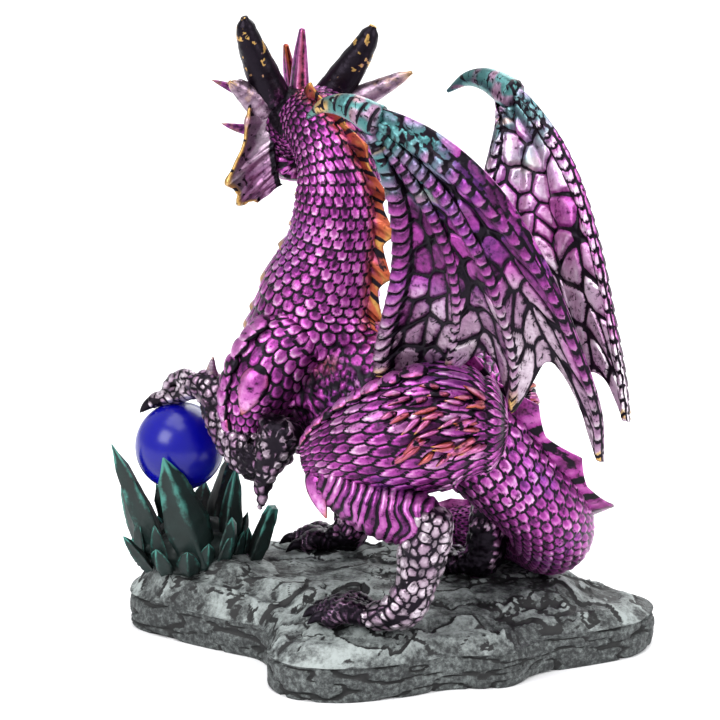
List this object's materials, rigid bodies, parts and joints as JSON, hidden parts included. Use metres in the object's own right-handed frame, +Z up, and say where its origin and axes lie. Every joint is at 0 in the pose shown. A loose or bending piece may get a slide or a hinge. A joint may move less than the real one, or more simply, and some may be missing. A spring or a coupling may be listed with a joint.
{
  "type": "dragon figurine on a rock base",
  "caption": "Crouching winged dragon on a slab of rock, one fore paw on a glass ball held in crystals.",
  "frame": {"origin": "on the flat underside of the rock, near the middle of its outline", "axes": "+Z up, -Y the way the head looks, the body facing +X and turned 35 degrees towards -Y; the picture looks along -Y from 15 degrees above"},
  "size_m": [0.1215, 0.0978, 0.1392],
  "materials": {
    "dragon_paint": "metallic purple paint over black, dry-brushed silver, teal, gold and copper",
    "rock_paint": "charcoal paint dry-brushed pale grey",
    "crystal_paint": "black-green paint, edges dry-brushed teal",
    "orb_glass": "cobalt blue, polished"
  },
  "bodies": {
    "root": {"rock_base": "rock_paint", "crystal_cluster": "crystal_paint", "orb": "orb_glass", "dragon": "dragon_paint", "wing_left": "dragon_paint", "wing_right": "dragon_paint"}
  },
  "joints": []
}
